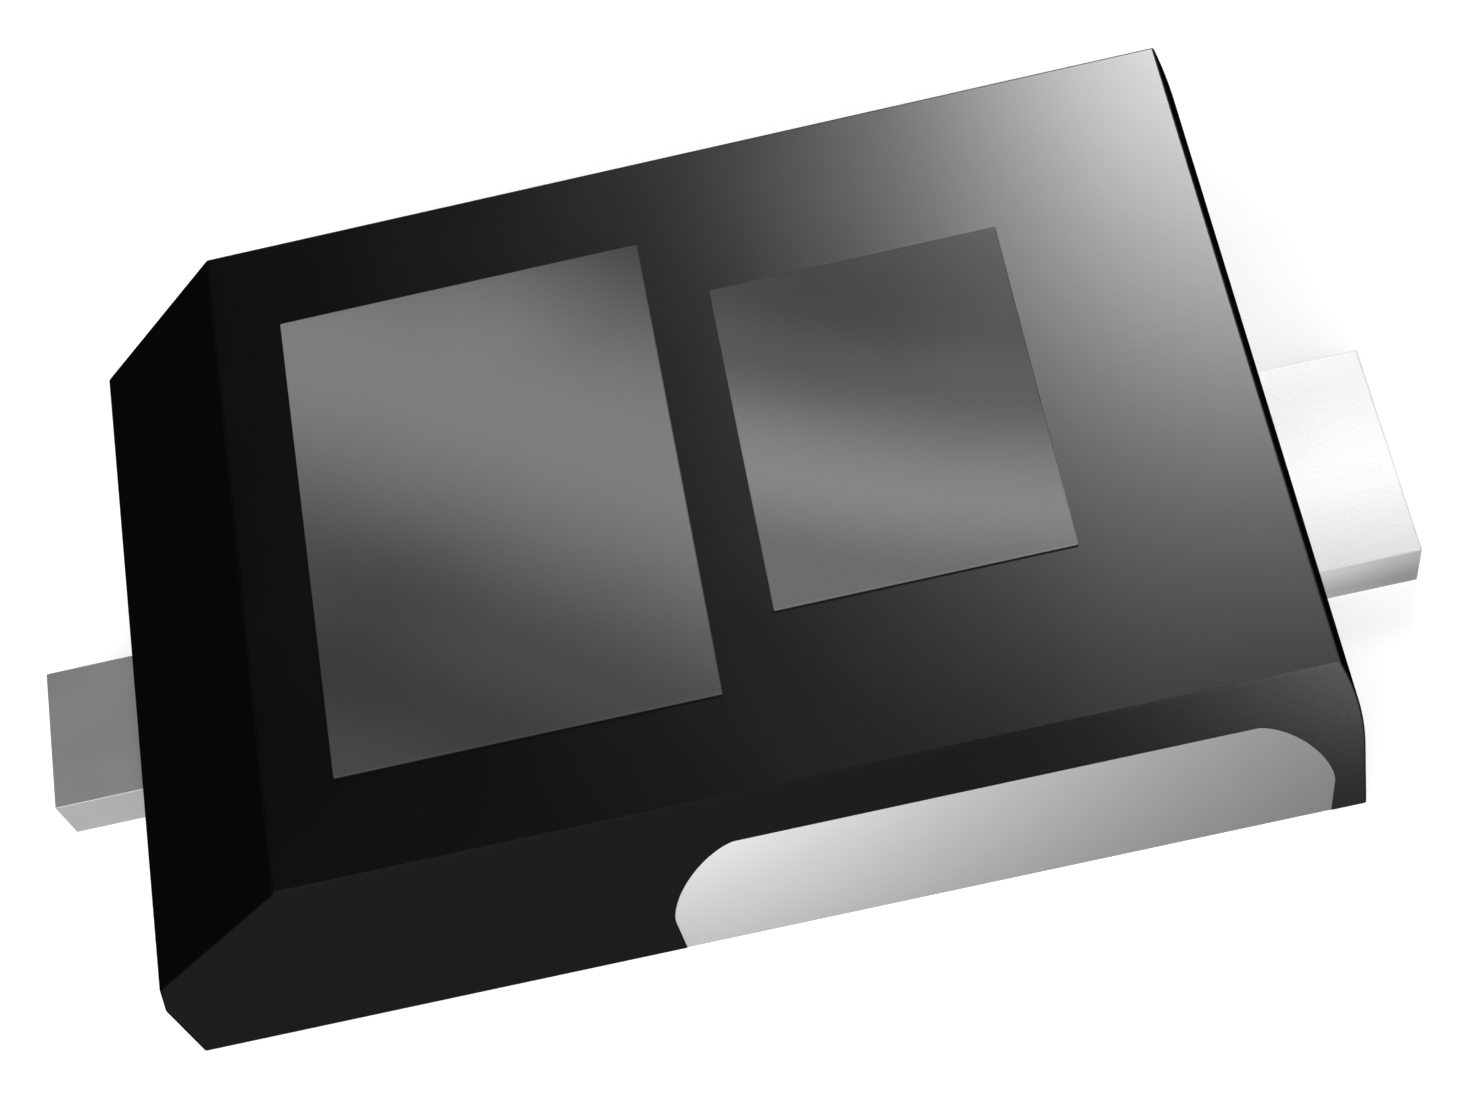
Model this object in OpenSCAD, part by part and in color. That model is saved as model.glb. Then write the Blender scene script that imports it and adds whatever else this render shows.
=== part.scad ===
// Flat two-terminal schottky diode for surface mounting, in millimetres.
// X runs from the anode to the cathode, Y across the body and Z up from the solder faces.
// The origin is the middle of the footprint, on the plane of the solder faces.

/* [Moulding] */
// Length of the moulding at its foot
body_l = 3.34; // [3.19:0.01:3.61]
// Width of the moulding
body_w = 1.95; // [1.88:0.01:2.18]
// Height of the moulding
body_h = 1.00; // [0.85:0.01:1.15]
// How far the top face starts in from the anode end
bevel_l = 0.48; // [0.3:0.01:0.6]
// Height of the bevel's lower edge
bevel_foot_h = 0.52; // [0.45:0.01:0.65]
// How far the narrow face below the bevel leans in
anode_lean = 0.033; // [0.01:0.001:0.06]
// Height at which the anode end turns upright
anode_upright_h = 0.36; // [0.25:0.01:0.42]
// Height of the straight foot of the cathode end
cathode_foot_h = 0.42; // [0.35:0.01:0.55]
// How far that foot leans in
cathode_lean = 0.028; // [0.01:0.001:0.05]
// How far the curve above the foot draws in, up to the top face
cathode_crown = 0.097; // [0.06:0.001:0.15]

/* [Lead strip] */
// Thickness of the strip that both terminals are stamped from
sheet_t = 0.19; // [0.12:0.01:0.22]
// How far each terminal stands out of the moulding
lead_reach = 0.325; // [0.2:0.005:0.4]

/* [Cathode frame] */
// Length of the solder pad and of the wings folded up from it
pad_l = 1.84; // [1.6:0.01:2]
// Moulding left between the pad and the cathode end
pad_end_wall = 0.10; // [0.06:0.01:0.2]
// Width of the cathode terminal
cathode_lead_w = 0.68; // [0.5:0.01:1]
// Height of the side wings
wing_h = 0.70; // [0.55:0.01:0.75]
// Length of a wing's rounded top corner
wing_corner_l = 0.23; // [0.1:0.01:0.4]
// Height of a wing's rounded top corner
wing_corner_h = 0.48; // [0.2:0.01:0.5]
// Fullness of that corner, where 1 is a straight cut and 2 is a quarter ellipse
wing_corner_n = 1.47; // [1.2:0.01:2.4]
// Radius inside the fold between the pad and a wing
fold_inner_r = 0.08; // [0.04:0.01:0.12]
// Radius outside that fold, where it is coined nearly sharp
fold_outer_r = 0.01; // [0.005:0.005:0.06]

/* [Anode clip] */
// Width of the anode terminal and of the strip that rises from it
anode_lead_w = 0.44; // [0.3:0.01:0.6]
// Length of the anode's solder face under the moulding
anode_foot_l = 0.35; // [0.25:0.01:0.45]
// Slope of the rising part of the clip, in degrees
riser_slope = 60; // [50:1:75]
// Radius inside the clip's bends
bend_r = 0.10; // [0.06:0.01:0.14]
// Length of the paddle over the chip
paddle_l = 0.72; // [0.5:0.01:0.8]
// Width of the paddle over the chip
paddle_w = 0.72; // [0.6:0.01:0.8]
// Corner cut of the paddle
paddle_corner = 0.10; // [0.05:0.01:0.15]

/* [Chip and solder] */
// Side of the square silicon chip
die_w = 1.00; // [0.85:0.01:1.1]
// Thickness of the silicon chip
die_t = 0.20; // [0.15:0.01:0.22]
// Thickness of each solder layer
solder_t = 0.03; // [0.02:0.005:0.04]
// How far the solder under the chip shows round its edge
solder_rim = 0.03; // [0.01:0.01:0.06]
// How far the solder under the paddle stays in from the paddle's edge
solder_inset = 0.03; // [0.01:0.01:0.06]

/* [Mark fields] */
// Thickness of the printed fields
mark_t = 0.010; // [0.005:0.001:0.03]
// Length of the large field
large_mark_l = 1.02; // [0.8:0.01:1.1]
// Width of the large field
large_mark_w = 1.40; // [1.2:0.01:1.6]
// Distance of the large field from the bevel's top edge
large_mark_inset = 0.19; // [0.1:0.01:0.25]
// Length of the small field
small_mark_l = 0.80; // [0.6:0.01:0.9]
// Width of the small field
small_mark_w = 1.00; // [0.8:0.01:1.2]
// Gap between the two fields
mark_gap = 0.17; // [0.1:0.01:0.25]

/* [Hidden] */
// Ends of the moulding, and of the pad inside it
anode_end = -body_l / 2;
cathode_end = body_l / 2;
pad_x1 = cathode_end - pad_end_wall;
pad_x0 = pad_x1 - pad_l;
// The crown of the cathode end is an arc that leaves the straight foot without a corner
crown_foot = [cathode_end - cathode_lean, cathode_foot_h];
crown_top = [crown_foot[0] - cathode_crown, body_h];
crown_chord = crown_top - crown_foot;
foot_inward = [-cathode_foot_h, -cathode_lean] / norm([cathode_foot_h, cathode_lean]);
crown_r = crown_chord * crown_chord / (2 * crown_chord * foot_inward);
crown_centre = crown_foot + crown_r * foot_inward;
// The chip sits in the middle of the pad, and each layer lies on the one below it
die_x = (pad_x0 + pad_x1) / 2;
die_z = sheet_t + solder_t;
clip_solder_z = die_z + die_t;
paddle_z = clip_solder_z + solder_t;
// The rising part is as long as the clip needs to reach the paddle's height
bend_rise = (2 * bend_r + sheet_t) * (1 - cos(riser_slope));
riser_l = (paddle_z - bend_rise) / sin(riser_slope);
riser_reach = (2 * bend_r + sheet_t) * sin(riser_slope) + riser_l * cos(riser_slope);
// The bridge runs on to the middle of the paddle, so that it stays one strip with it
bridge_l = die_x - (anode_end + anode_foot_l + riser_reach);
// Where the mark fields start along X
large_mark_x = anode_end + bevel_l + large_mark_inset;
small_mark_x = large_mark_x + large_mark_l + mark_gap;
// How far a cutting shape runs past what it cuts
over = 0.5;
// Step of a wing corner's curve, in degrees
corner_step = 7.5;
// Sides of a full circle
$fn = 180;

// A plate that lies flat: its middle in X and Y, and its underside in Z
module plate(middle, size) {
    translate([middle[0] - size[0] / 2, middle[1] - size[1] / 2, middle[2]])
        cube(size);
}

// A side profile, drawn as X and Z, that runs across the body
module across(width) {
    rotate([90, 0, 0])
        linear_extrude(height = width, center = true)
            children();
}

// Side profile of the moulding: straight edges, and the crown that stands out from its chord
module moulding_profile() {
    polygon([
        [anode_end, 0],
        [cathode_end, 0],
        crown_foot,
        crown_top,
        [anode_end + bevel_l, body_h],
        [anode_end + anode_lean, bevel_foot_h],
        [anode_end, anode_upright_h],
    ]);
    intersection() {
        translate(crown_centre)
            circle(r = crown_r);
        polygon([
            crown_foot,
            [cathode_end + over, cathode_foot_h],
            [cathode_end + over, body_h],
            crown_top,
        ]);
    }
}

// How far in from a wing's end its rounded corner lies, at one angle of its curve
function corner_in(angle) = wing_corner_l * (1 - pow(cos(angle), 2 / wing_corner_n));

// Height of the rounded corner at that angle
function corner_up(angle) = wing_h - wing_corner_h * (1 - pow(sin(angle), 2 / wing_corner_n));

// Side profile of the pad and wings, left deep below the solder face
module wing_profile() {
    polygon([
        [pad_x0, -over],
        for (angle = [0:corner_step:90]) [pad_x0 + corner_in(angle), corner_up(angle)],
        for (angle = [90:-corner_step:0]) [pad_x1 - corner_in(angle), corner_up(angle)],
        [pad_x1, -over],
    ]);
}

// Room inside the folded strip, with a radius in each fold
module channel_room() {
    room_w = body_w - 2 * sheet_t;
    translate([-room_w / 2, sheet_t + fold_inner_r])
        square([room_w, wing_h]);
    translate([-room_w / 2 + fold_inner_r, sheet_t])
        square([room_w - 2 * fold_inner_r, wing_h]);
    for (side = [-1, 1])
        translate([side * (room_w / 2 - fold_inner_r), sheet_t + fold_inner_r])
            circle(r = fold_inner_r);
}

// What the outer radius of a fold takes off a square corner
module fold_round() {
    for (side = [0, 1])
        mirror([side, 0])
            translate([body_w / 2 - fold_outer_r, fold_outer_r])
                difference() {
                    translate([0, -fold_outer_r - over])
                        square(fold_outer_r + over);
                    circle(r = fold_outer_r);
                }
}

// Pad and wings as one folded strip, with the fold's outer radius or with the square corner of its pocket
module folded_strip(rounded) {
    intersection() {
        translate([pad_x0 - over, 0, 0])
            rotate([90, 0, 90])
                linear_extrude(height = pad_l + 2 * over)
                    difference() {
                        translate([-body_w / 2, 0])
                            square([body_w, wing_h + over]);
                        channel_room();
                        if (rounded)
                            fold_round();
                    }
        across(body_w + over)
            wing_profile();
    }
}

// Pad, wings and terminal; the terminal starts in the middle of the pad, so that it stays one strip with it
module cathode_solid(rounded) {
    folded_strip(rounded);
    translate([die_x, -cathode_lead_w / 2, 0])
        cube([cathode_end + lead_reach - die_x, cathode_lead_w, sheet_t]);
}

// One run of a strip along X, then its bend, then the rest of the strip from there.
// Each step is a length and the bend after it, in degrees upwards.
module bent_strip(steps, width, i = 0) {
    run = steps[i][0];
    turn = steps[i][1];
    bend_z = turn > 0 ? sheet_t + bend_r : -bend_r;
    translate([0, -width / 2, 0])
        cube([run, width, sheet_t]);
    if (turn != 0)
        translate([run, 0, bend_z]) {
            rotate([90, 0, 0])
                rotate([0, 0, turn > 0 ? -90 : 90 + turn])
                    rotate_extrude(angle = abs(turn))
                        translate([bend_r, -width / 2])
                            square([sheet_t, width]);
            rotate([0, -turn, 0])
                translate([0, 0, -bend_z])
                    bent_strip(steps, width, i + 1);
        }
}

// Outline of the paddle with its corners cut, around its middle
module paddle_outline(length, width) {
    x = length / 2;
    y = width / 2;
    c = paddle_corner;
    polygon([
        [x - c, y], [x, y - c],
        [x, c - y], [x - c, -y],
        [c - x, -y], [-x, c - y],
        [-x, y - c], [c - x, y],
    ]);
}

module anode_solid() {
    translate([anode_end - lead_reach, 0, 0])
        bent_strip([
            [lead_reach + anode_foot_l, riser_slope],
            [riser_l, -riser_slope],
            [bridge_l, 0],
        ], anode_lead_w);
    translate([die_x, 0, paddle_z])
        linear_extrude(height = sheet_t)
            paddle_outline(paddle_l, paddle_w);
}

module die_solid() {
    plate([die_x, 0, die_z], [die_w, die_w, die_t]);
}

module die_attach_solid() {
    plate([die_x, 0, sheet_t], [die_w + 2 * solder_rim, die_w + 2 * solder_rim, solder_t]);
}

module clip_solder_solid() {
    translate([die_x, 0, clip_solder_z])
        linear_extrude(height = solder_t)
            paddle_outline(paddle_l - 2 * solder_inset, paddle_w - 2 * solder_inset);
}

// Black epoxy, moulded round everything inside it
module moulded_body() {
    color([0.07, 0.07, 0.07])
        difference() {
            across(body_w)
                moulding_profile();
            cathode_solid(rounded = false);
            anode_solid();
            die_attach_solid();
            die_solid();
            clip_solder_solid();
        }
}

// Tin-plated copper: solder pad, side wings and wide terminal
module cathode_frame() {
    color([0.80, 0.80, 0.80])
        cathode_solid(rounded = true);
}

// Tin-plated copper: narrow terminal, riser, bridge and paddle
module anode_clip() {
    color([0.72, 0.72, 0.72])
        anode_solid();
}

module schottky_die() {
    color([0.30, 0.32, 0.36])
        die_solid();
}

module die_attach_solder() {
    color([0.62, 0.62, 0.64])
        die_attach_solid();
}

module clip_solder() {
    color([0.62, 0.62, 0.64])
        clip_solder_solid();
}

// Grey printed fields on the top face
module large_mark_field() {
    color([0.42, 0.42, 0.42])
        plate([large_mark_x + large_mark_l / 2, 0, body_h], [large_mark_l, large_mark_w, mark_t]);
}

module small_mark_field() {
    color([0.42, 0.42, 0.42])
        plate([small_mark_x + small_mark_l / 2, 0, body_h], [small_mark_l, small_mark_w, mark_t]);
}

moulded_body();
cathode_frame();
anode_clip();
schottky_die();
die_attach_solder();
clip_solder();
large_mark_field();
small_mark_field();
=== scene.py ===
"""Flat two-terminal schottky diode: fine meshes, finishes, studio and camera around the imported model."""
import math

import bmesh
import bpy
from mathutils import Matrix, Vector


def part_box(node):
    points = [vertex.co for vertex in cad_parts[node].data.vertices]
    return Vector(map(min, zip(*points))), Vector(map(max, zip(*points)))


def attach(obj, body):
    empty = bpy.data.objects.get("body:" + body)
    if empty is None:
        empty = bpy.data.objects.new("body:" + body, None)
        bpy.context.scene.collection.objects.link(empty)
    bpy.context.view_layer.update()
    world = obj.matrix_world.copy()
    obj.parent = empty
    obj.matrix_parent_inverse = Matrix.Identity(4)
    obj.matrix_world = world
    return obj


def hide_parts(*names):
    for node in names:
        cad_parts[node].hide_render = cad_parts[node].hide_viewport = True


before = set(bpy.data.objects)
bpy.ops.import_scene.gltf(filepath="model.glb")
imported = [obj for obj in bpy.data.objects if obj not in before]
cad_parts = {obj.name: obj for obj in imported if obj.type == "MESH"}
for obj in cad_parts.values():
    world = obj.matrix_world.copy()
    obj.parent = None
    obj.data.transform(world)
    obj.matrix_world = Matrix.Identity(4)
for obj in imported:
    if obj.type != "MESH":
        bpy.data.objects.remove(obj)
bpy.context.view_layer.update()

# Meshes are built in millimetres and end in metres
MM = 0.001


def box_mm(node):
    """Lowest and highest corner of a CAD node, in millimetres."""
    low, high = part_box(node)
    return low / MM, high / MM


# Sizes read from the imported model, in millimetres
BODY_LOW, BODY_HIGH = box_mm("moulded_body")
FRAME_LOW, FRAME_HIGH = box_mm("cathode_frame")
CLIP_LOW, CLIP_HIGH = box_mm("anode_clip")
DIE_LOW, DIE_HIGH = box_mm("schottky_die")
DIE_SOLDER_LOW, DIE_SOLDER_HIGH = box_mm("die_attach_solder")
CLIP_SOLDER_LOW, CLIP_SOLDER_HIGH = box_mm("clip_solder")
HALF_W = BODY_HIGH.y
BODY_H = BODY_HIGH.z
SHEET_T = DIE_SOLDER_LOW.z
PADDLE_Z = CLIP_SOLDER_HIGH.z
DIE_X = (DIE_LOW.x + DIE_HIGH.x) / 2

# Sizes that the boxes don't give, as in the part's source, in millimetres and degrees
BEVEL_L = 0.48
BEVEL_FOOT_H = 0.52
ANODE_LEAN = 0.033
ANODE_UPRIGHT_H = 0.36
CATHODE_FOOT_H = 0.42
CATHODE_LEAN = 0.028
CATHODE_CROWN = 0.097
PAD_END_WALL = 0.10
CATHODE_LEAD_W = 0.68
WING_CORNER_L = 0.23
WING_CORNER_H = 0.48
WING_CORNER_N = 1.47
FOLD_INNER_R = 0.08
FOLD_OUTER_R = 0.01
ANODE_LEAD_W = 0.44
ANODE_FOOT_L = 0.35
RISER_SLOPE = 60
BEND_R = 0.10
PADDLE_CORNER = 0.10
PAD_X0 = FRAME_LOW.x
PAD_X1 = BODY_HIGH.x - PAD_END_WALL

# Fine edges that only show close up, in millimetres, and from which angle in degrees an edge gets one
MOULD_EDGE = 0.006
MOULD_SHARP = 8
STAMP_EDGE = 0.003
STAMP_SHARP = 40
INK_EDGE = 0.004
CHIP_EDGE = 0.004
PLAIN_SHARP = 30
EDGE_SEGMENTS = 3
# How strongly large faces pull the shading flat, out of 100
FLAT_FACE_WEIGHT = 100

# Straight steps in each round stretch
WING_CORNER_STEPS = 24
CROWN_STEPS = 24
BEND_STEPS = 12
FOLD_INNER_STEPS = 8
FOLD_OUTER_STEPS = 6

# How far a cutting shape runs past what it cuts, in millimetres
OVER = 0.3


# Mesh building

def new_object(name, bm):
    """An object in the scene from a bmesh."""
    mesh = bpy.data.meshes.new(name)
    bmesh.ops.recalc_face_normals(bm, faces=bm.faces)
    bm.to_mesh(mesh)
    bm.free()
    made = bpy.data.objects.new(name, mesh)
    bpy.context.scene.collection.objects.link(made)
    return made


def prism(name, outline, axis, start, end):
    """A closed outline of two coordinates, swept along the third axis from start to end."""
    place = {
        "X": lambda u, v, w: (w, u, v),
        "Y": lambda u, v, w: (u, w, v),
        "Z": lambda u, v, w: (u, v, w),
    }[axis]
    bm = bmesh.new()
    rings = [[bm.verts.new(place(u, v, w)) for u, v in outline] for w in (start, end)]
    bm.faces.new(rings[0])
    bm.faces.new(rings[1])
    for i in range(len(outline)):
        j = (i + 1) % len(outline)
        bm.faces.new((rings[0][i], rings[0][j], rings[1][j], rings[1][i]))
    return new_object(name, bm)


def block(name, low, high):
    """A box between two corners."""
    outline = [(low[0], low[1]), (high[0], low[1]), (high[0], high[1]), (low[0], high[1])]
    return prism(name, outline, "Z", low[2], high[2])


def bake(piece):
    """Replaces a piece's mesh by what its modifiers make of it."""
    graph = bpy.context.evaluated_depsgraph_get()
    graph.update()
    made = bpy.data.meshes.new_from_object(piece.evaluated_get(graph))
    piece.modifiers.clear()
    piece.data = made


def cut(piece, tool, operation):
    """A boolean of the piece with the tool, which is used up."""
    step = piece.modifiers.new(operation.lower(), "BOOLEAN")
    step.operation = operation
    step.solver = "EXACT"
    step.object = tool
    bake(piece)
    bpy.data.objects.remove(tool)


def soften(piece, width, angle):
    """Rounds every edge sharper than the angle."""
    step = piece.modifiers.new("edges", "BEVEL")
    step.width = width
    step.segments = EDGE_SEGMENTS
    step.limit_method = "ANGLE"
    step.angle_limit = math.radians(angle)
    step.use_clamp_overlap = True
    bake(piece)


def even_normals(piece):
    """Smooth shading in which the large flat faces stay flat."""
    for face in piece.data.polygons:
        face.use_smooth = True
    step = piece.modifiers.new("normals", "WEIGHTED_NORMAL")
    step.weight = FLAT_FACE_WEIGHT
    step.keep_sharp = True
    bake(piece)


def with_edges(piece, width, angle=PLAIN_SHARP):
    """The piece with its fine edges and even shading."""
    soften(piece, width, angle)
    even_normals(piece)
    return piece


def hand_over(piece, node):
    """Brings a finished piece to metres and puts it in the place of a CAD node."""
    piece.data.transform(Matrix.Scale(MM, 4))
    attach(piece, "root")
    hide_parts(node)


def arc(centre, radius, start, end, count):
    """Points of an arc between two angles in degrees, both ends included."""
    turns = [math.radians(start + (end - start) * i / count) for i in range(count + 1)]
    return [(centre[0] + radius * math.cos(a), centre[1] + radius * math.sin(a)) for a in turns]


# Folded cathode frame

def wing_corner():
    """A wing's rounded top corner, as the way in from the wing's end and the height."""
    power = 2 / WING_CORNER_N
    points = []
    for i in range(WING_CORNER_STEPS + 1):
        turn = math.radians(90 * i / WING_CORNER_STEPS)
        inward = WING_CORNER_L * (1 - max(0.0, math.cos(turn)) ** power)
        below_top = WING_CORNER_H * (1 - math.sin(turn) ** power)
        points.append((inward, FRAME_HIGH.z - below_top))
    return points


def wing_outline(bottom):
    """Side outline of the pad and wings, as X and Z, with its rounded top corners."""
    corner = wing_corner()
    anode_side = [(PAD_X0 + inward, up) for inward, up in corner]
    cathode_side = [(PAD_X1 - inward, up) for inward, up in reversed(corner)]
    return [(PAD_X0, bottom)] + anode_side + cathode_side + [(PAD_X1, bottom)]


def channel_outline(half_w, bottom, outer_r):
    """Section of the folded strip across the body, as Y and Z, left tall where the wings are trimmed."""
    top = FRAME_HIGH.z + OVER
    inner_w = HALF_W - SHEET_T
    fold_y = inner_w - FOLD_INNER_R
    fold_z = SHEET_T + FOLD_INNER_R
    corners = [(-half_w, bottom), (half_w, bottom)]
    if outer_r:
        corners = (arc((-half_w + outer_r, bottom + outer_r), outer_r, 180, 270, FOLD_OUTER_STEPS)
                   + arc((half_w - outer_r, bottom + outer_r), outer_r, 270, 360, FOLD_OUTER_STEPS))
    inside = (arc((fold_y, fold_z), FOLD_INNER_R, 0, -90, FOLD_INNER_STEPS)
              + arc((-fold_y, fold_z), FOLD_INNER_R, -90, -180, FOLD_INNER_STEPS))
    return [(-half_w, top)] + corners + [(half_w, top), (inner_w, top)] + inside + [(-inner_w, top)]


def folded_strip(name, grow, outer_r):
    """Pad and wings as one piece; grow makes the pocket's version, which runs out of the moulding."""
    section = channel_outline(HALF_W + grow, -grow, outer_r)
    strip = prism(name, section, "X", PAD_X0 - OVER, PAD_X1 + OVER)
    trim = prism("trim", wing_outline(-2 * OVER), "Y", -HALF_W - 2 * OVER, HALF_W + 2 * OVER)
    cut(strip, trim, "INTERSECT")
    return strip


def cathode_terminal(name, end, bottom):
    """The wide terminal, which starts inside the pad."""
    half = CATHODE_LEAD_W / 2
    return block(name, (PAD_X1 - SHEET_T, -half, bottom), (end, half, SHEET_T))


def make_cathode_frame():
    """Pad, wings and wide terminal as one stamped and folded strip."""
    piece = folded_strip("tinned_cathode_frame", 0, FOLD_OUTER_R)
    cut(piece, cathode_terminal("terminal", FRAME_HIGH.x, 0), "UNION")
    return with_edges(piece, STAMP_EDGE, STAMP_SHARP)


# Bent anode clip

def clip_outline():
    """Side outline of the bent strip, as X and Z, from the terminal's end to the end of the bridge."""
    slope = math.radians(RISER_SLOPE)
    outer_r = BEND_R + SHEET_T
    both_r = BEND_R + outer_r
    rise = both_r * (1 - math.cos(slope))
    riser = (PADDLE_Z - rise) / math.sin(slope)
    run = both_r * math.sin(slope) + riser * math.cos(slope)
    foot_x = BODY_LOW.x + ANODE_FOOT_L
    bend_up = (foot_x, SHEET_T + BEND_R)
    bend_over = (foot_x + run, PADDLE_Z - BEND_R)
    under = (arc(bend_up, outer_r, -90, RISER_SLOPE - 90, BEND_STEPS)
             + arc(bend_over, BEND_R, RISER_SLOPE + 90, 90, BEND_STEPS))
    over = (arc(bend_over, outer_r, 90, RISER_SLOPE + 90, BEND_STEPS)
            + arc(bend_up, BEND_R, RISER_SLOPE - 90, -90, BEND_STEPS))
    bridge_end = [(DIE_X, PADDLE_Z), (DIE_X, PADDLE_Z + SHEET_T)]
    return [(CLIP_LOW.x, 0)] + under + bridge_end + over + [(CLIP_LOW.x, SHEET_T)]


def cut_corner_outline(half_l, half_w, corner):
    """A rectangle round the chip's middle with its corners cut, as X and Y."""
    quarter = [(half_l - corner, half_w), (half_l, half_w - corner)]
    right = quarter + [(x, -y) for x, y in reversed(quarter)]
    both = right + [(-x, y) for x, y in reversed(right)]
    return [(DIE_X + x, y) for x, y in both]


def anode_clip_solid(name):
    """The bent strip with its paddle on the chip."""
    piece = prism(name, clip_outline(), "Y", -ANODE_LEAD_W / 2, ANODE_LEAD_W / 2)
    outline = cut_corner_outline(CLIP_HIGH.x - DIE_X, CLIP_HIGH.y, PADDLE_CORNER)
    cut(piece, prism("paddle", outline, "Z", PADDLE_Z, PADDLE_Z + SHEET_T), "UNION")
    return piece


def make_anode_clip():
    """The narrow terminal and the clip, one bent strip."""
    return with_edges(anode_clip_solid("tinned_anode_clip"), STAMP_EDGE, STAMP_SHARP)


# Solder on the chip and printed fields

def clip_solder_solid(name):
    """The solder layer between the chip and the clip's paddle."""
    outline = cut_corner_outline(CLIP_SOLDER_HIGH.x - DIE_X, CLIP_SOLDER_HIGH.y, PADDLE_CORNER)
    return prism(name, outline, "Z", CLIP_SOLDER_LOW.z, CLIP_SOLDER_HIGH.z)


def make_field(name, node):
    """A printed field with a soft rim along its top."""
    return with_edges(block(name, *box_mm(node)), INK_EDGE)


# Moulding

def moulding_outline():
    """Side outline of the moulding, as X and Z, with the crown that leaves the straight cathode foot."""
    foot = Vector((BODY_HIGH.x - CATHODE_LEAN, CATHODE_FOOT_H))
    top = Vector((foot.x - CATHODE_CROWN, BODY_H))
    chord = top - foot
    inward = Vector((-CATHODE_FOOT_H, -CATHODE_LEAN)).normalized()
    radius = chord.length_squared / (2 * chord.dot(inward))
    centre = foot + radius * inward
    start, end = (math.degrees(math.atan2(p.y - centre.y, p.x - centre.x)) for p in (foot, top))
    anode = BODY_LOW.x
    bevel = [(anode + BEVEL_L, BODY_H), (anode + ANODE_LEAN, BEVEL_FOOT_H), (anode, ANODE_UPRIGHT_H)]
    return [(anode, 0), (BODY_HIGH.x, 0)] + arc(centre, radius, start, end, CROWN_STEPS) + bevel


def make_moulding():
    """The epoxy, rounded at its edges and hollow where the metal, chip and solder sit."""
    piece = prism("epoxy_moulding", moulding_outline(), "Y", -HALF_W, HALF_W)
    soften(piece, MOULD_EDGE, MOULD_SHARP)
    for pocket in (
        folded_strip("frame_pocket", OVER / 2, 0),
        cathode_terminal("terminal_slot", FRAME_HIGH.x + OVER, -OVER),
        anode_clip_solid("clip_pocket"),
        block("die_solder_pocket", DIE_SOLDER_LOW, DIE_SOLDER_HIGH),
        block("die_pocket", DIE_LOW, DIE_HIGH),
        clip_solder_solid("clip_solder_pocket"),
    ):
        cut(piece, pocket, "DIFFERENCE")
    even_normals(piece)
    return piece


# Node patterns

# Where noise mostly stays
NOISE_LOW = 0.3
NOISE_HIGH = 0.7


class Nodes:
    """A node tree with the few patterns that the finishes and the studio share."""

    def __init__(self, tree):
        self.tree = tree

    def node(self, kind, **settings):
        """A new node with some of its settings."""
        made = self.tree.nodes.new(kind)
        for key, value in settings.items():
            setattr(made, key, value)
        return made

    def link(self, output, target):
        """Joins a node's output to an input."""
        self.tree.links.new(output, target)

    def math(self, operation, *values):
        """One step of arithmetic on numbers or other nodes' outputs."""
        made = self.node("ShaderNodeMath", operation=operation)
        for socket, value in zip(made.inputs, values):
            if isinstance(value, (int, float)):
                socket.default_value = value
            else:
                self.link(value, socket)
        return made.outputs["Value"]

    def dot(self, vector, direction):
        """How far a vector reaches along a direction."""
        made = self.node("ShaderNodeVectorMath", operation="DOT_PRODUCT")
        self.link(vector, made.inputs[0])
        made.inputs[1].default_value = direction
        return made.outputs["Value"]

    def between(self, value, low, high, curve="LINEAR"):
        """Maps a value from one pair of value and result to another, and holds it beyond them."""
        made = self.node("ShaderNodeMapRange", interpolation_type=curve)
        self.link(value, made.inputs["Value"])
        for end, (place, result) in (("Min", low), ("Max", high)):
            made.inputs["From " + end].default_value = place
            made.inputs["To " + end].default_value = result
        return made.outputs["Result"]


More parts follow.
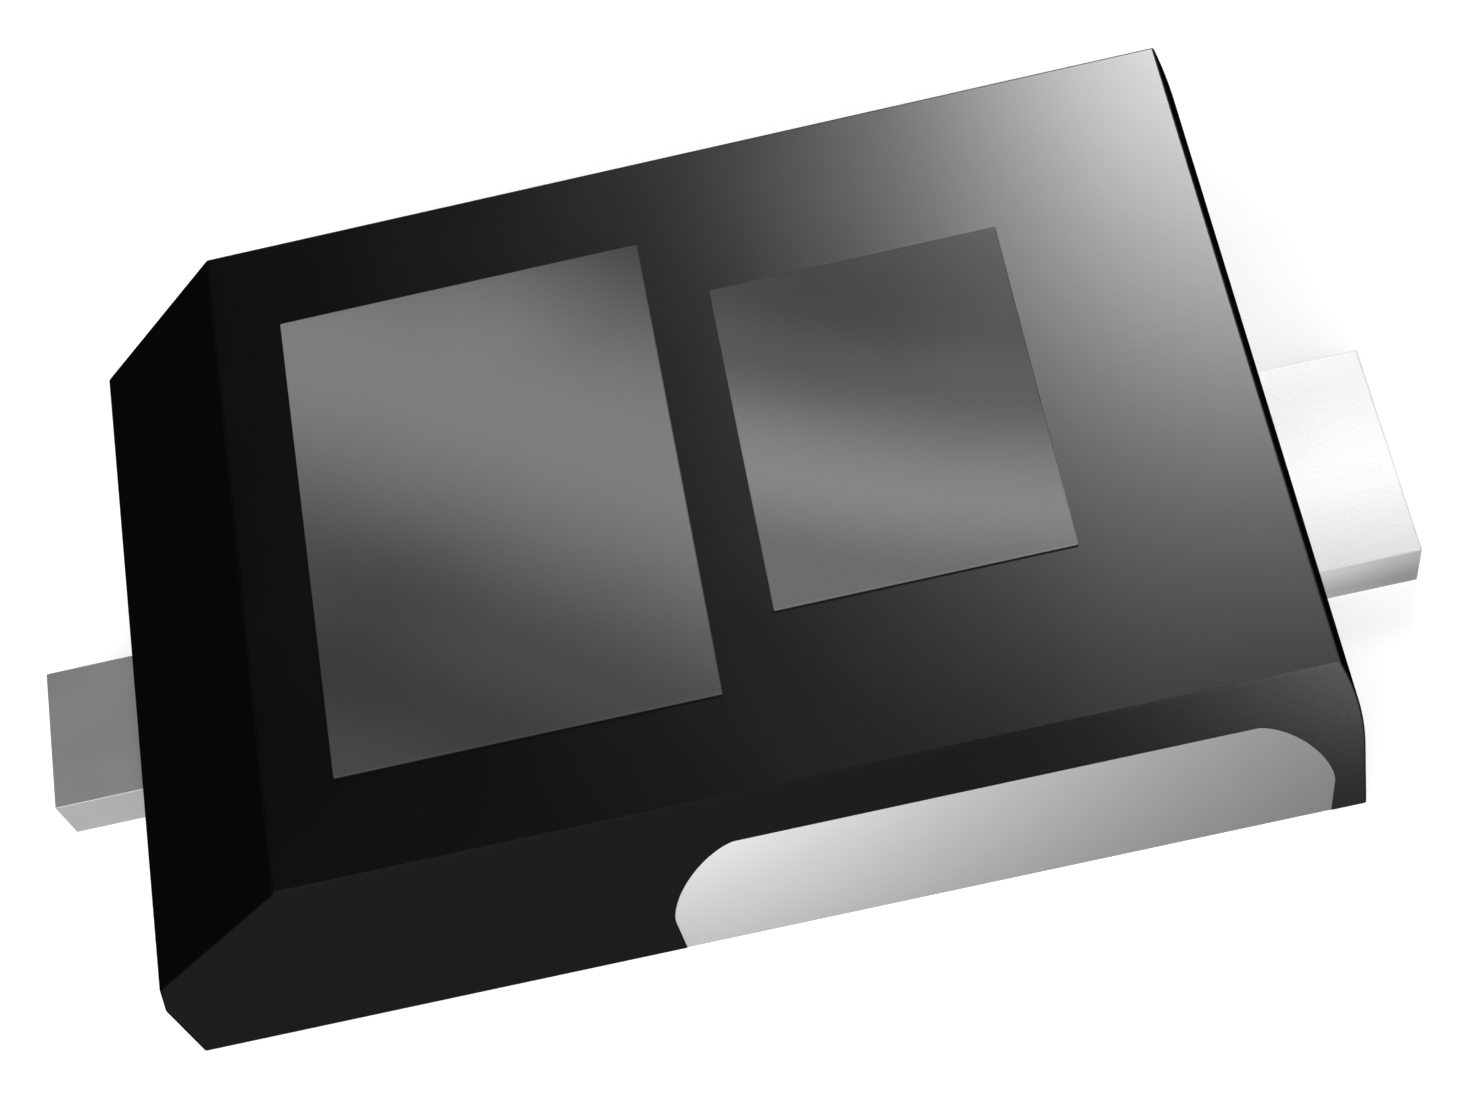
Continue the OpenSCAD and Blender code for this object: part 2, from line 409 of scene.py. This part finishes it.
class Finish(Nodes):
    """A material round one shader; places and distances on the object are in millimetres."""

    def __init__(self, name):
        self.material = bpy.data.materials.new(name)
        self.material.use_nodes = True
        super().__init__(self.material.node_tree)
        self.shader = self.tree.nodes["Principled BSDF"]

    def set(self, **values):
        """Sets the shader's own sockets, such as Specular_IOR_Level=0.5."""
        for key, value in values.items():
            self.shader.inputs[key.replace("_", " ")].default_value = value

    def drive(self, **outputs):
        """Links outputs to the shader's sockets, such as Base_Color=tone."""
        for key, output in outputs.items():
            self.link(output, self.shader.inputs[key.replace("_", " ")])

    def position(self):
        """Place on the object."""
        coordinate = self.node("ShaderNodeTexCoord")
        scaled = self.node("ShaderNodeVectorMath", operation="SCALE")
        self.link(coordinate.outputs["Object"], scaled.inputs[0])
        scaled.inputs["Scale"].default_value = 1 / MM
        return scaled.outputs["Vector"]

    def along(self, direction):
        """How far a place lies along a direction."""
        return self.dot(self.position(), direction)

    def away_from(self, centre):
        """Distance from a point."""
        gap = self.node("ShaderNodeVectorMath", operation="DISTANCE")
        self.link(self.position(), gap.inputs[0])
        gap.inputs[1].default_value = centre
        return gap.outputs["Value"]

    def leaning(self, axis):
        """How far a face looks along an axis, from -1 to 1."""
        shape = self.node("ShaderNodeNewGeometry")
        parts = self.node("ShaderNodeSeparateXYZ")
        self.link(shape.outputs["True Normal"], parts.inputs["Vector"])
        return parts.outputs[axis]

    def facing(self, axis):
        """How far a face looks along an axis, either way, from 0 to 1."""
        return self.math("ABSOLUTE", self.leaning(axis))

    def noise(self, size, detail):
        """Noise whose features are about the given size."""
        made = self.node("ShaderNodeTexNoise")
        self.link(self.position(), made.inputs["Vector"])
        made.inputs["Scale"].default_value = 1 / size
        made.inputs["Detail"].default_value = detail
        return made.outputs["Fac"]

    def spread(self, noise, low, high):
        """Brings noise to a range."""
        return self.between(noise, (NOISE_LOW, low), (NOISE_HIGH, high))

    def grey(self, value):
        """A grey colour from a number."""
        made = self.node("ShaderNodeCombineColor")
        for socket in made.inputs[:3]:
            self.link(value, socket)
        return made.outputs["Color"]

    def grey_ramp(self, value, stops):
        """Grey levels along a value, eased between a few stops."""
        first, last = stops[0][0], stops[-1][0]
        made = self.node("ShaderNodeValToRGB")
        made.color_ramp.interpolation = "EASE"
        points = made.color_ramp.elements
        while len(points) < len(stops):
            points.new(1.0)
        for point, (place, grey) in zip(points, stops):
            point.position = (place - first) / (last - first)
            point.color = (grey, grey, grey, 1)
        self.link(self.between(value, (first, 0.0), (last, 1.0)), made.inputs["Fac"])
        return made.outputs["Color"]

    def tinted(self, colour, share):
        """A colour made lighter or darker by a number."""
        made = self.node("ShaderNodeVectorMath", operation="SCALE")
        self.link(colour, made.inputs[0])
        self.link(share, made.inputs["Scale"])
        return made.outputs["Vector"]

    def mix(self, share, first, second):
        """Colour between two colours."""
        made = self.node("ShaderNodeMix", data_type="RGBA")
        self.link(share, made.inputs["Factor"])
        self.link(first, made.inputs["A"])
        self.link(second, made.inputs["B"])
        return made.outputs["Result"]

    def bump(self, height, depth):
        """Relief of the given depth."""
        made = self.node("ShaderNodeBump")
        made.inputs["Distance"].default_value = depth * MM
        self.link(height, made.inputs["Height"])
        self.drive(Normal=made.outputs["Normal"])


X_AXIS = (1, 0, 0)
Y_AXIS = (0, 1, 0)
Z_AXIS = (0, 0, 1)


# Black epoxy; a pair is a place in millimetres, or a share, and the grey level or factor there

# Painted shade: grey levels by which way a face looks, lighter on the long faces than on the ends, bevel
# and crown
LONG_FACE_TONE = 0.0104
LONG_FACE_FALL = 3.0
LEANING_END_SHADE = (0.985, 0.0021)
UPRIGHT_END_SHADE = (0.998, 0.0090)
# Painted reflection: a pale sheen on the long faces that grows towards the cathode's top
PAINTED_SHEEN_START = (0.5, 0.0)
PAINTED_SHEEN_FULL = (1.6, 1.0)
PAINTED_SHEEN_GROWTH = 2.7
PAINTED_SHEEN_LIFT = 1.8
PAINTED_SHEEN_FOOT_TONE = 0.0123
PAINTED_SHEEN_TOP_TONE = 0.088
# Share of straight up, and of the body's height, from which a face belongs to the top
NEARLY = 0.99


def epoxy_top():
    """Smooth, slightly glossy top of the black moulding."""
    skin = Finish("epoxy_top")
    grain = skin.noise(size=0.02, detail=4)
    cloud = skin.noise(size=0.6, detail=2)
    skin.drive(Base_Color=skin.grey(skin.spread(grain, low=0.0004, high=0.0012)))
    skin.drive(Roughness=skin.spread(cloud, low=0.19, high=0.21))
    skin.bump(grain, depth=0.00004)
    skin.set(Specular_IOR_Level=1.0)
    return skin.material


def epoxy_side():
    """Matt sides of the black moulding, with painted shade by which way a face looks; the long faces have
    a pale painted reflection towards the cathode's top.
    """
    skin = Finish("epoxy_side")
    grain = skin.noise(size=0.015, detail=4)
    speck = skin.spread(grain, low=0.92, high=1.08)
    # Painted reflection: a pale sheen on the long faces towards the cathode's top
    lengthwise = skin.between(skin.along(X_AXIS), PAINTED_SHEEN_START, PAINTED_SHEEN_FULL)
    to_cathode = skin.math("POWER", lengthwise, PAINTED_SHEEN_GROWTH)
    to_top = skin.math("MULTIPLY", skin.math("POWER", skin.along(Z_AXIS), PAINTED_SHEEN_LIFT), PAINTED_SHEEN_TOP_TONE)
    painted_sheen = skin.math("MULTIPLY", to_cathode, skin.math("ADD", to_top, PAINTED_SHEEN_FOOT_TONE))
    # Painted shade: the tone follows which way the face looks, with its own levels on the ends
    off_ends = skin.math("POWER", skin.math("SUBTRACT", 1.0, skin.facing(0)), LONG_FACE_FALL)
    long_tone = skin.math("MULTIPLY", off_ends, skin.math("ADD", painted_sheen, LONG_FACE_TONE))
    end_shade_tone = skin.between(skin.facing(0), LEANING_END_SHADE, UPRIGHT_END_SHADE)
    tone = skin.math("MULTIPLY", skin.math("ADD", long_tone, end_shade_tone), speck)
    skin.drive(Base_Color=skin.grey(tone))
    skin.drive(Roughness=skin.spread(grain, low=0.75, high=0.9))
    skin.bump(grain, depth=0.0004)
    skin.set(Specular_IOR_Level=0.0)
    return skin.material


def coat(piece, *finishes):
    """Gives a piece its finishes; its faces take the first."""
    piece.data.materials.clear()
    for finish in finishes:
        piece.data.materials.append(finish)


def coat_moulding(piece):
    """Glossy top face, matt everywhere else."""
    coat(piece, epoxy_side(), epoxy_top())
    for face in piece.data.polygons:
        upward = face.normal.z > NEARLY
        face.material_index = 1 if upward and face.center.z > BODY_H * NEARLY else 0


# Tin plating; a pair is a place in millimetres, or a share, and the grey level or factor there

# The narrow terminal's flat top is an even, darker painted shade, and the wide one's has a painted
# highlight along a line
ANODE_FLAT_SHADE_TONES = (0.478, 0.488)
HIGHLIGHT_LINE_Y = -0.05
ON_HIGHLIGHT_LINE = (0.05, 0.82)
OFF_HIGHLIGHT_LINE = (0.29, 0.705)
# The wings carry a painted reflection that fades with the distance from a point above the anode side
WING_REFLECTION_AT = (-1.0, 0.0, 1.9)
WING_REFLECTION_PEAK = 4.0
WING_REFLECTION_FADE = 0.96
# The terminals' cut sides have painted shade, darker at the bottom, and the wide one's is lifted by
# painted light towards the moulding
ANODE_SIDE_LOW = (0.05, 0.390)
ANODE_SIDE_HIGH = (0.17, 0.397)
CATHODE_SIDE_LOW = (0.05, 0.260)
CATHODE_SIDE_HIGH = (0.17, 0.41)
CATHODE_SIDE_ROOT = (1.72, 1.68)
CATHODE_SIDE_END = (1.98, 1.0)
# The solder faces underneath are even
SOLDER_FACE_TONES = (0.72, 0.78)
FACES_DOWN = (-0.9, 1.0)
FACES_ASIDE = (-0.5, 0.0)
# Where the clip's tones give way to the frame's, and the wings' to the terminals'
CLIP_END = (-1.0, 0.0)
FRAME_START = (-0.4, 1.0)
WING_END = (1.60, 0.0)
TERMINAL_START = (1.66, 1.0)


def tin_plate():
    """Satin tin plating with a cloudy grain; its tone follows the place on the strip and the way a face
    looks, as painted highlights, reflections and shade.
    """
    skin = Finish("tin_plate")
    grain = skin.noise(size=0.012, detail=4)
    cloud = skin.noise(size=0.35, detail=3)
    length = skin.along(X_AXIS)
    height = skin.along(Z_AXIS)
    on_frame = skin.between(length, CLIP_END, FRAME_START)

    # Painted shade on the narrow terminal's flat top, and a painted highlight along a line on the wide
    # one's
    off_highlight_line = skin.math("ABSOLUTE", skin.math("SUBTRACT", skin.along(Y_AXIS), HIGHLIGHT_LINE_Y))
    anode_flat = skin.grey(skin.spread(cloud, *ANODE_FLAT_SHADE_TONES))
    cathode_flat = skin.grey(skin.between(off_highlight_line, ON_HIGHLIGHT_LINE, OFF_HIGHLIGHT_LINE))
    flat_tone = skin.mix(on_frame, anode_flat, cathode_flat)

    # Painted reflection on the wings, dimming away from a point above the anode side
    reflection_falloff = skin.math("EXPONENT", skin.math("MULTIPLY", skin.away_from(WING_REFLECTION_AT), -WING_REFLECTION_FADE))
    wing_tone = skin.grey(skin.math("MULTIPLY", reflection_falloff, WING_REFLECTION_PEAK))

    # Painted shade on the terminals' cut sides, darker at the bottom; painted light lifts the wide one's
    # towards the moulding
    anode_side = skin.grey(skin.between(height, ANODE_SIDE_LOW, ANODE_SIDE_HIGH))
    upwards = skin.between(height, CATHODE_SIDE_LOW, CATHODE_SIDE_HIGH)
    outwards = skin.between(length, CATHODE_SIDE_ROOT, CATHODE_SIDE_END)
    cathode_side = skin.grey(skin.math("MULTIPLY", upwards, outwards))
    terminal_tone = skin.mix(on_frame, anode_side, cathode_side)

    on_terminal = skin.between(skin.math("ABSOLUTE", length), WING_END, TERMINAL_START)
    side_tone = skin.mix(on_terminal, wing_tone, terminal_tone)
    solder_face = skin.grey(skin.spread(cloud, *SOLDER_FACE_TONES))
    looking_down = skin.between(skin.leaning(2), FACES_DOWN, FACES_ASIDE)
    tone = skin.mix(looking_down, skin.mix(skin.facing(1), flat_tone, side_tone), solder_face)
    skin.drive(Base_Color=skin.tinted(tone, skin.spread(cloud, low=0.98, high=1.02)))
    skin.drive(Roughness=skin.spread(cloud, low=0.43, high=0.47))
    skin.bump(grain, depth=0.0003)
    skin.set(Metallic=1.0)
    return skin.material


# Printing ink with painted reflections; a band is a distance from a far centre and the grey level there,
# in millimetres, and a patch of painted highlight or shade is its middle, the factor there and the radius
# at which it ends

LARGE_REFLECTION_ROUND = (-4.32, -5.95, BODY_H)
LARGE_REFLECTION_BANDS = (
    (6.25, 0.062), (6.47, 0.047), (6.69, 0.066), (7.32, 0.218), (7.37, 0.217), (8.05, 0.052))
LARGE_HIGHLIGHT_SHADE_PATCHES = (((-0.33, 0.70, BODY_H), 1.24, 0.33), ((-0.86, -0.28, BODY_H), 0.81, 0.34))
SMALL_REFLECTION_ROUND = (2.34, 4.14, BODY_H)
SMALL_REFLECTION_BANDS = ((3.46, 0.185), (4.20, 0.081), (4.37, 0.108), (4.73, 0.248), (4.96, 0.157))
SMALL_HIGHLIGHT_SHADE_PATCHES = (((0.50, 0.50, BODY_H), 0.73, 0.50), ((1.00, 0.25, BODY_H), 1.25, 0.35))
REFLECTION_BAND_WANDER = 0.03


def printed_ink(name, centre, bands, patches):
    """Grey printing ink; its soft bands of tone round a far centre are painted reflections, its lighter or
    darker spots painted highlight and shade.
    """
    skin = Finish(name)
    cloud = skin.noise(size=0.5, detail=2)
    grain = skin.noise(size=0.012, detail=3)
    wander = skin.between(cloud, (0.0, -REFLECTION_BAND_WANDER), (1.0, REFLECTION_BAND_WANDER))
    # Painted reflections as soft bands of tone round a far centre
    tone = skin.grey_ramp(skin.math("ADD", skin.away_from(centre), wander), bands)
    share = skin.spread(grain, low=0.98, high=1.02)
    # Painted highlight and shade as lighter or darker spots
    for middle, factor, radius in patches:
        patch = skin.between(skin.away_from(middle), (0.0, factor), (radius, 1.0))
        share = skin.math("MULTIPLY", share, patch)
    skin.drive(Base_Color=skin.tinted(tone, share))
    skin.drive(Roughness=skin.spread(grain, low=0.55, high=0.7))
    skin.bump(grain, depth=0.0003)
    skin.set(Specular_IOR_Level=0.1)
    return skin.material


# Silicon and solder

def silicon():
    """Sawn and polished silicon."""
    skin = Finish("silicon")
    cloud = skin.noise(size=0.2, detail=3)
    skin.drive(Base_Color=skin.grey(skin.spread(cloud, low=0.22, high=0.30)))
    skin.drive(Roughness=skin.spread(cloud, low=0.12, high=0.22))
    skin.set(Metallic=0.7)
    return skin.material


def solder():
    """Dull soft solder."""
    skin = Finish("solder")
    grain = skin.noise(size=0.03, detail=4)
    skin.drive(Base_Color=skin.grey(skin.spread(grain, low=0.45, high=0.6)))
    skin.drive(Roughness=skin.spread(grain, low=0.4, high=0.55))
    skin.bump(grain, depth=0.001)
    skin.set(Metallic=1.0)
    return skin.material


# Studio: an oval lamp behind, a wide screen in front and a pale horizon, in degrees and strengths

SPOT_AZIMUTH = 17.1
SPOT_ELEVATION = 49.1
SPOT_WIDTH = 4.7
SPOT_HEIGHT = 8.0
SPOT_PEAK = 20.6
FRONT_LIGHT = (-0.25, -0.65, 0.72)
FRONT_INNER = 25
FRONT_OUTER = 55
FRONT_STRENGTH = 2.15
# Heights of a direction, from 0 at the horizon to 1 overhead
HORIZON_FULL = 0.05
HORIZON_GONE = 0.45
HORIZON_STRENGTH = 0.9
SKY_STRENGTH = 0.006


def spot_light(studio, look):
    """Strength of the oval lamp: a soft round one, narrowed from side to side."""
    azimuth = math.radians(SPOT_AZIMUTH)
    elevation = math.radians(SPOT_ELEVATION)
    ahead = Vector((math.sin(azimuth), math.cos(azimuth), 0))
    sideways = Vector((math.cos(azimuth), -math.sin(azimuth), 0))
    towards = ahead * math.cos(elevation) + Vector(Z_AXIS) * math.sin(elevation)
    round_share = 1 / math.radians(SPOT_HEIGHT) ** 2
    narrow_share = 1 / math.radians(SPOT_WIDTH) ** 2 - round_share
    angle = studio.math("ARCCOSINE", studio.math("MINIMUM", studio.dot(look, towards), 1.0))
    aside = studio.dot(look, sideways)
    round_spread = studio.math("MULTIPLY", studio.math("MULTIPLY", angle, angle), round_share)
    narrow_spread = studio.math("MULTIPLY", studio.math("MULTIPLY", aside, aside), narrow_share)
    spread = studio.math("ADD", round_spread, narrow_spread)
    return studio.math("DIVIDE", SPOT_PEAK, studio.math("EXPONENT", spread))


def make_world():
    """A dark studio with a soft lamp behind, a large pale screen in front and a pale horizon."""
    world = bpy.data.worlds.new("studio")
    world.use_nodes = True
    bpy.context.scene.world = world
    studio = Nodes(world.node_tree)
    look = studio.node("ShaderNodeTexCoord").outputs["Generated"]

    spot = spot_light(studio, look)
    to_front = studio.dot(look, Vector(FRONT_LIGHT).normalized())
    screen_edge = (math.cos(math.radians(FRONT_OUTER)), 0.0)
    screen_full = (math.cos(math.radians(FRONT_INNER)), FRONT_STRENGTH)
    front = studio.between(to_front, screen_edge, screen_full, "SMOOTHSTEP")
    sky_edge = (HORIZON_GONE, 0.0)
    sky_foot = (HORIZON_FULL, HORIZON_STRENGTH)
    horizon = studio.between(studio.dot(look, Z_AXIS), sky_edge, sky_foot, "SMOOTHSTEP")

    lamps = studio.math("ADD", spot, front)
    surround = studio.math("ADD", horizon, SKY_STRENGTH)
    background = studio.tree.nodes["Background"]
    background.inputs["Color"].default_value = (1, 1, 1, 1)
    studio.link(studio.math("ADD", lamps, surround), background.inputs["Strength"])


# Floor; lengths are in metres
FLOOR_HALF = 0.25
# Keeps the floor clear of the solder faces, which would flicker against it
FLOOR_GAP = 0.002 * MM
FLOOR_ALBEDO = 0.60
FLOOR_CLOUD = 0.02
FLOOR_GLOW = 0.60


def make_floor():
    """A pale floor: white to the camera and to gloss, with the shadow kept."""
    bm = bmesh.new()
    bmesh.ops.create_grid(bm, x_segments=1, y_segments=1, size=FLOOR_HALF)
    bmesh.ops.translate(bm, verts=bm.verts, vec=(0, 0, -FLOOR_GAP))
    floor = new_object("floor", bm)

    skin = Finish("floor")
    cloud = skin.noise(size=3.0, detail=3)
    tone = skin.between(cloud, (0.0, FLOOR_ALBEDO), (1.0, FLOOR_ALBEDO + FLOOR_CLOUD))
    skin.drive(Base_Color=skin.grey(tone))
    skin.set(Roughness=1.0, Specular_IOR_Level=0.0)
    path = skin.node("ShaderNodeLightPath")
    through = skin.math("MAXIMUM", path.outputs["Is Glossy Ray"], path.outputs["Is Transmission Ray"])
    seen = skin.math("MAXIMUM", path.outputs["Is Camera Ray"], through)
    glow = skin.node("ShaderNodeEmission")
    skin.link(skin.math("MULTIPLY", seen, FLOOR_GLOW), glow.inputs["Strength"])
    both = skin.node("ShaderNodeAddShader")
    skin.link(skin.shader.outputs["BSDF"], both.inputs[0])
    skin.link(glow.outputs["Emission"], both.inputs[1])
    skin.link(both.outputs["Shader"], skin.tree.nodes["Material Output"].inputs["Surface"])
    skin.material.cycles.emission_sampling = "NONE"
    coat(floor, skin.material)


# Camera, fitted to the photograph: places in millimetres, roll in degrees, focal length in pixels
IMAGE_W = 1468
FOCAL_PX = 2861.0
CAMERA_AT = (0.4027, -3.8020, 7.5868)
LOOK_AT = (0.0982, -0.0283, 0.5)
ROLL = -16.44
SENSOR_W = 36.0
CLIP_NEAR = 0.5 * MM
CLIP_FAR = 10.0


def make_camera():
    """The scene's camera at the photograph's place and angle."""
    data = bpy.data.cameras.new("camera")
    data.sensor_width = SENSOR_W
    data.sensor_fit = "HORIZONTAL"
    data.lens = FOCAL_PX / IMAGE_W * SENSOR_W
    data.clip_start = CLIP_NEAR
    data.clip_end = CLIP_FAR
    camera = bpy.data.objects.new("camera", data)
    bpy.context.scene.collection.objects.link(camera)
    view = Vector(LOOK_AT) - Vector(CAMERA_AT)
    aim = view.to_track_quat("-Z", "Y").to_matrix().to_4x4()
    roll = Matrix.Rotation(math.radians(ROLL), 4, "Z")
    camera.matrix_world = Matrix.Translation(Vector(CAMERA_AT) * MM) @ aim @ roll
    bpy.context.scene.camera = camera


# The part: each piece, its finish, the CAD node that it replaces and the record's material slot
moulding = make_moulding()
coat_moulding(moulding)
hand_over(moulding, "moulded_body")

tin = tin_plate()
soft_solder = solder()
cathode_frame = make_cathode_frame()
anode_clip = make_anode_clip()
chip = with_edges(block("silicon_chip", DIE_LOW, DIE_HIGH), CHIP_EDGE)
die_solder_layer = with_edges(block("die_solder_layer", DIE_SOLDER_LOW, DIE_SOLDER_HIGH), CHIP_EDGE)
clip_solder_layer = with_edges(clip_solder_solid("clip_solder_layer"), CHIP_EDGE)
large_field = make_field("large_printed_field", "large_mark_field")
small_field = make_field("small_printed_field", "small_mark_field")
large_ink = printed_ink("ink_large", LARGE_REFLECTION_ROUND, LARGE_REFLECTION_BANDS, LARGE_HIGHLIGHT_SHADE_PATCHES)
small_ink = printed_ink("ink_small", SMALL_REFLECTION_ROUND, SMALL_REFLECTION_BANDS, SMALL_HIGHLIGHT_SHADE_PATCHES)
for piece, finish, node, slot in (
    (cathode_frame, tin, "cathode_frame", "tin_plate"),
    (anode_clip, tin, "anode_clip", "tin_plate"),
    (chip, silicon(), "schottky_die", "silicon"),
    (die_solder_layer, soft_solder, "die_attach_solder", "solder"),
    (clip_solder_layer, soft_solder, "clip_solder", "solder"),
    (large_field, large_ink, "large_mark_field", "grey_ink"),
    (small_field, small_ink, "small_mark_field", "grey_ink"),
):
    coat(piece, finish)
    hand_over(piece, node)

make_floor()
make_world()
make_camera()
bpy.context.scene.view_settings.view_transform = "Standard"
